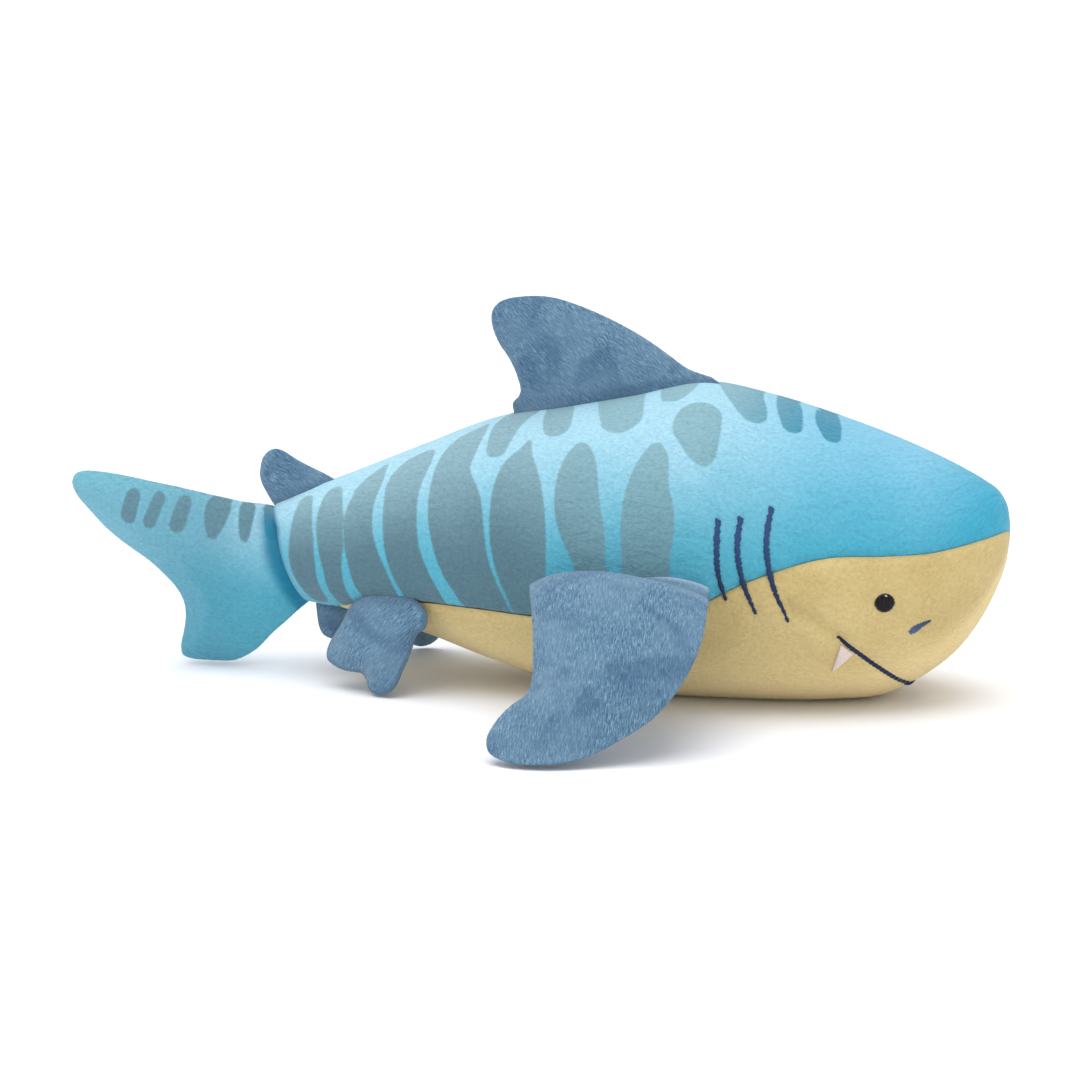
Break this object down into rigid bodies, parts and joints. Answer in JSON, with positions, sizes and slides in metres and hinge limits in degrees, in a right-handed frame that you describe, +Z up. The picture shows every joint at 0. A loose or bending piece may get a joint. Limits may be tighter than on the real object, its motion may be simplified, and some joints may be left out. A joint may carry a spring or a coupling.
{
  "type": "plush shark",
  "caption": "Stuffed plush shark with a striped blue back, cream belly, embroidered face, felt teeth and soft sewn-on fins and tail that flop and spring back.",
  "frame": {"origin": "centre of the bounding box at the level the belly rests on", "axes": "+X towards the nose, +Z up, the shark's right side is -Y"},
  "size_m": [0.4198, 0.2882, 0.1732],
  "materials": {
    "blue_plush": "matte short pile, printed with darker teal stripes",
    "cream_plush": "matte short pile",
    "denim_plush": "matte heathered pile",
    "fibre_fill": "loose matte fibre",
    "seam_thread": "matte",
    "root_seam_thread": "matte",
    "navy_thread": "satin",
    "black_thread": "satin",
    "pale_felt": "matte felt"
  },
  "bodies": {
    "torso": {"anal_root_seam": "root_seam_thread", "back_panel_left": "blue_plush", "back_panel_right": "blue_plush", "back_seam": "seam_thread", "belly_panel": "cream_plush", "body_stuffing": "fibre_fill", "dorsal_root_seam": "root_seam_thread", "eye_left": "black_thread", "eye_right": "black_thread", "gill_front_left": "navy_thread", "gill_front_right": "navy_thread", "gill_middle_left": "navy_thread", "gill_middle_right": "navy_thread", "gill_rear_left": "navy_thread", "gill_rear_right": "navy_thread", "mouth_stitching": "navy_thread", "nostril_left": "navy_thread", "nostril_right": "navy_thread", "pectoral_root_seam_left": "root_seam_thread", "pectoral_root_seam_right": "root_seam_thread", "pelvic_root_seam_left": "root_seam_thread", "pelvic_root_seam_right": "root_seam_thread", "rear_dorsal_root_seam": "root_seam_thread", "side_seam_left": "seam_thread", "side_seam_right": "seam_thread", "tail_root_seam": "root_seam_thread", "tooth_left": "pale_felt", "tooth_right": "pale_felt"},
    "dorsal_fin": {"dorsal_fin_panel_left": "denim_plush", "dorsal_fin_panel_right": "denim_plush", "dorsal_fin_stuffing": "fibre_fill"},
    "rear_dorsal_fin": {"rear_dorsal_fin_panel_left": "denim_plush", "rear_dorsal_fin_panel_right": "denim_plush", "rear_dorsal_fin_stuffing": "fibre_fill"},
    "anal_fin": {"anal_fin_panel_left": "denim_plush", "anal_fin_panel_right": "denim_plush", "anal_fin_stuffing": "fibre_fill"},
    "pelvic_fin_right": {"pelvic_fin_right_panel_inner": "denim_plush", "pelvic_fin_right_panel_outer": "denim_plush", "pelvic_fin_right_stuffing": "fibre_fill"},
    "pelvic_fin_left": {"pelvic_fin_left_panel_inner": "denim_plush", "pelvic_fin_left_panel_outer": "denim_plush", "pelvic_fin_left_stuffing": "fibre_fill"},
    "pectoral_fin_right": {"pectoral_fin_right_panel_lower": "denim_plush", "pectoral_fin_right_panel_upper": "denim_plush", "pectoral_fin_right_stuffing": "fibre_fill"},
    "pectoral_fin_left": {"pectoral_fin_left_panel_lower": "denim_plush", "pectoral_fin_left_panel_upper": "denim_plush", "pectoral_fin_left_stuffing": "fibre_fill"},
    "tail": {"tail_panel_left": "blue_plush", "tail_panel_right": "blue_plush", "tail_stuffing": "fibre_fill"}
  },
  "joints": [
    {"name": "tail_sway", "type": "hinge", "parent": "torso", "child": "tail", "pos_m": [-0.11146, 0, 0.05176], "axis": [-0.3536, 0, 0.9354], "range_deg": [-35, 35], "stiffness_Nm_per_rad": 0.35},
    {"name": "dorsal_flop", "type": "hinge", "parent": "torso", "child": "dorsal_fin", "pos_m": [0.03715, 0, 0.13222], "axis": [0.9856, 0, 0.1688], "range_deg": [-50, 50], "stiffness_Nm_per_rad": 0.08},
    {"name": "rear_dorsal_flop", "type": "hinge", "parent": "torso", "child": "rear_dorsal_fin", "pos_m": [-0.09908, 0, 0.08538], "axis": [0.9181, 0, 0.3963], "range_deg": [-40, 40], "stiffness_Nm_per_rad": 0.02},
    {"name": "anal_flop", "type": "hinge", "parent": "torso", "child": "anal_fin", "pos_m": [-0.08475, 0, 0.02717], "axis": [0.9926, 0, -0.1213], "range_deg": [-40, 40], "stiffness_Nm_per_rad": 0.015},
    {"name": "pelvic_right_flap", "type": "hinge", "parent": "torso", "child": "pelvic_fin_right", "pos_m": [-0.06156, -0.03044, 0.03864], "axis": [-0.941, 0.3364, -0.0353], "range_deg": [-8, 55], "stiffness_Nm_per_rad": 0.03},
    {"name": "pelvic_left_flap", "type": "hinge", "parent": "torso", "child": "pelvic_fin_left", "pos_m": [-0.06156, 0.03044, 0.03864], "axis": [0.941, 0.3364, 0.0353], "range_deg": [-8, 55], "stiffness_Nm_per_rad": 0.03},
    {"name": "pectoral_right_flap", "type": "hinge", "parent": "torso", "child": "pectoral_fin_right", "pos_m": [0.04929, -0.05963, 0.04701], "axis": [-0.9948, 0.0981, -0.0273], "range_deg": [-25, 35], "stiffness_Nm_per_rad": 0.15},
    {"name": "pectoral_left_flap", "type": "hinge", "parent": "torso", "child": "pectoral_fin_left", "pos_m": [0.04929, 0.05963, 0.04701], "axis": [0.9948, 0.0981, 0.0273], "range_deg": [-25, 35], "stiffness_Nm_per_rad": 0.15}
  ]
}
